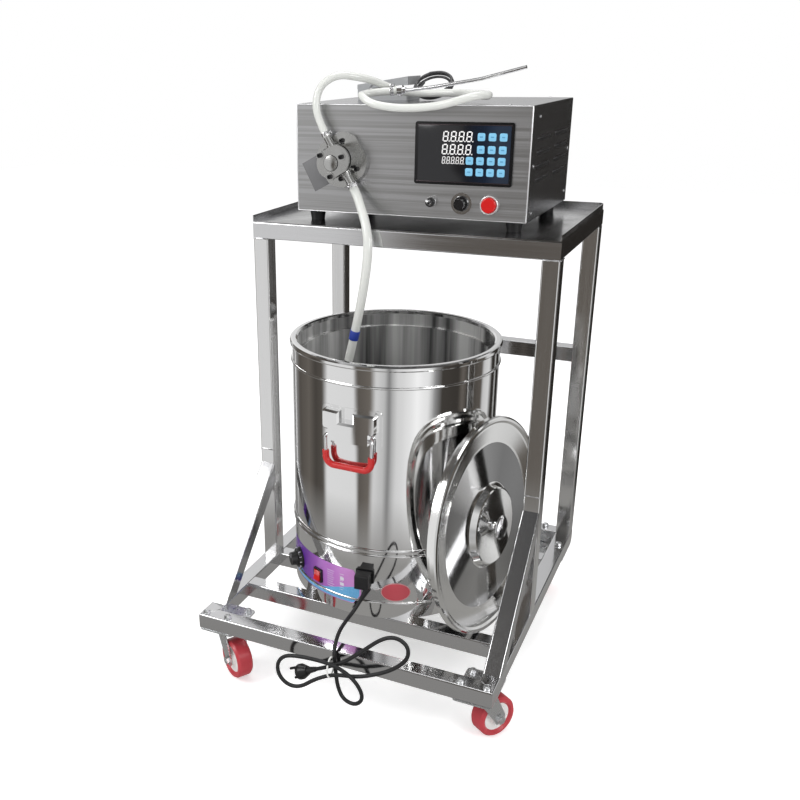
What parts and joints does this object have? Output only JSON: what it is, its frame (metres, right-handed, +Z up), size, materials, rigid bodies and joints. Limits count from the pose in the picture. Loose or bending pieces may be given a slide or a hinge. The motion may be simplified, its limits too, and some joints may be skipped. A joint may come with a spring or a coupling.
{
  "type": "candle wax melter",
  "caption": "Wheeled square-tube steel cart with a heated steel wax barrel, its lid stood on edge, and a gear pump filling machine with hoses on the top tray.",
  "frame": {"origin": "centre of the box around the object without its cords, at the floor", "axes": "+X to the right seen from the front, +Y to the back, +Z up; the front is the barrel side with the controls"},
  "size_m": [0.5916, 0.6613, 1.0819],
  "materials": {
    "cart_steel": "satin",
    "tray_steel": "satin",
    "zinc": "satin",
    "hub_white": "satin",
    "tread_red": "satin",
    "barrel_steel": "polished",
    "black_plastic": "satin",
    "red_plastic": "gloss",
    "bail_steel": "polished",
    "case_steel": "satin",
    "rubber_black": "matte",
    "pump_steel": "satin",
    "grey_plastic": "satin",
    "silicone": "satin"
  },
  "bodies": {
    "cart": {"base_rail_front": "cart_steel", "base_rail_rear": "cart_steel", "base_rail_left": "cart_steel", "base_rail_right": "cart_steel", "cross_rails": "cart_steel", "leg_front_left": "cart_steel", "leg_front_right": "cart_steel", "leg_rear_left": "cart_steel", "leg_rear_right": "cart_steel", "top_frame": "cart_steel", "brace_left": "cart_steel", "brace_right": "cart_steel", "top_tray": "tray_steel", "caster_plates": "zinc", "barrel_outer": "barrel_steel", "barrel_inner": "barrel_steel", "handle_brackets": "barrel_steel", "thermostat_dial": "black_plastic", "rocker_housing": "black_plastic", "power_inlet": "black_plastic", "inlet_plug": "black_plastic", "mains_plug": "black_plastic", "display_panel": "black_plastic", "control_bushings": "bail_steel", "nozzle": "bail_steel", "cabinet_body": "case_steel", "cabinet_cover": "case_steel", "cabinet_feet": "rubber_black", "mains_cord": "rubber_black", "foot_cable_coil": "rubber_black", "pump_body": "pump_steel", "pump_cover": "pump_steel", "foot_switch_base": "grey_plastic", "delivery_hose": "silicone", "suction_hose": "silicone"},
    "caster_swivel_front_right": {"caster_fork_front_right": "zinc"},
    "caster_swivel_front_left": {"caster_fork_front_left": "zinc"},
    "caster_swivel_rear_left": {"caster_fork_rear_left": "zinc"},
    "caster_swivel_rear_right": {"caster_fork_rear_right": "zinc"},
    "wheel_front_right": {"caster_hub_front_right": "hub_white", "caster_tyre_front_right": "tread_red"},
    "wheel_front_left": {"caster_hub_front_left": "hub_white", "caster_tyre_front_left": "tread_red"},
    "wheel_rear_left": {"caster_hub_rear_left": "hub_white", "caster_tyre_rear_left": "tread_red"},
    "wheel_rear_right": {"caster_hub_rear_right": "hub_white", "caster_tyre_rear_right": "tread_red"},
    "thermostat": {"thermostat_knob": "black_plastic"},
    "rocker": {"rocker_switch": "red_plastic"},
    "front_handle": {"bail_front": "bail_steel", "bail_grip_front": "red_plastic"},
    "rear_handle": {"bail_rear": "bail_steel", "bail_grip_rear": "red_plastic"},
    "lid": {"barrel_lid": "barrel_steel", "lid_knob": "barrel_steel"},
    "toggle": {"toggle_lever": "bail_steel"},
    "speed": {"speed_knob": "black_plastic"},
    "push": {"push_button": "red_plastic"},
    "pedal": {"foot_pedal": "grey_plastic"}
  },
  "joints": [
    {"name": "swivel_front_right", "type": "hinge", "parent": "cart", "child": "caster_swivel_front_right", "pos_m": [0.246, -0.2665, 0.09], "axis": [0, 0, 1], "continuous": true},
    {"name": "spin_front_right", "type": "hinge", "parent": "caster_swivel_front_right", "child": "wheel_front_right", "pos_m": [0.26421, -0.23898, 0.0375], "axis": [-0.8339, 0.5519, 0], "continuous": true},
    {"name": "swivel_front_left", "type": "hinge", "parent": "cart", "child": "caster_swivel_front_left", "pos_m": [-0.246, -0.2665, 0.09], "axis": [0, 0, 1], "continuous": true},
    {"name": "spin_front_left", "type": "hinge", "parent": "caster_swivel_front_left", "child": "wheel_front_left", "pos_m": [-0.21832, -0.28447, 0.0375], "axis": [0.5446, 0.8387, 0], "continuous": true},
    {"name": "swivel_rear_left", "type": "hinge", "parent": "cart", "child": "caster_swivel_rear_left", "pos_m": [-0.246, 0.2665, 0.09], "axis": [0, 0, 1], "continuous": true},
    {"name": "spin_rear_left", "type": "hinge", "parent": "caster_swivel_rear_left", "child": "wheel_rear_left", "pos_m": [-0.26421, 0.23898, 0.0375], "axis": [0.8339, -0.5519, 0], "continuous": true},
    {"name": "swivel_rear_right", "type": "hinge", "parent": "cart", "child": "caster_swivel_rear_right", "pos_m": [0.246, 0.2665, 0.09], "axis": [0, 0, 1], "continuous": true},
    {"name": "spin_rear_right", "type": "hinge", "parent": "caster_swivel_rear_right", "child": "wheel_rear_right", "pos_m": [0.21832, 0.28447, 0.0375], "axis": [-0.5446, -0.8387, 0], "continuous": true},
    {"name": "thermostat_turn", "type": "hinge", "parent": "cart", "child": "thermostat", "pos_m": [-0.16265, -0.14018, 0.19], "axis": [0.7133, 0.7009, 0], "range_deg": [0, 270]},
    {"name": "rocker_tip", "type": "hinge", "parent": "cart", "child": "rocker", "pos_m": [-0.09907, -0.17759, 0.188], "axis": [0.9135, -0.4067, 0], "range_deg": [0, 14]},
    {"name": "front_handle_swing", "type": "hinge", "parent": "cart", "child": "front_handle", "pos_m": [-0.02691, -0.19788, 0.487], "axis": [-0.9994, 0.0349, 0], "range_deg": [0, 110]},
    {"name": "rear_handle_swing", "type": "hinge", "parent": "cart", "child": "rear_handle", "pos_m": [-0.01309, 0.19788, 0.487], "axis": [0.9994, -0.0349, 0], "range_deg": [0, 110]},
    {"name": "lid_lift", "type": "slide", "parent": "cart", "child": "lid", "axis": [0, 0, 1], "range_m": [0, 0.05]},
    {"name": "toggle_throw", "type": "hinge", "parent": "cart", "child": "toggle", "pos_m": [0.0466, -0.0217, 0.866], "axis": [1, 0, 0], "range_deg": [0, 24]},
    {"name": "speed_turn", "type": "hinge", "parent": "cart", "child": "speed", "pos_m": [0.1004, -0.0257, 0.866], "axis": [0, 1, 0], "range_deg": [0, 270]},
    {"name": "push_press", "type": "slide", "parent": "cart", "child": "push", "axis": [0, 1, 0], "range_m": [0, 0.003], "stiffness_N_per_m": 300, "springref_m": -0.002},
    {"name": "pedal_press", "type": "hinge", "parent": "cart", "child": "pedal", "pos_m": [-0.144, 0.16, 1.035], "axis": [0, 1, 0], "range_deg": [0, 3], "stiffness_Nm_per_rad": 8, "springref_deg": -3.44}
  ]
}
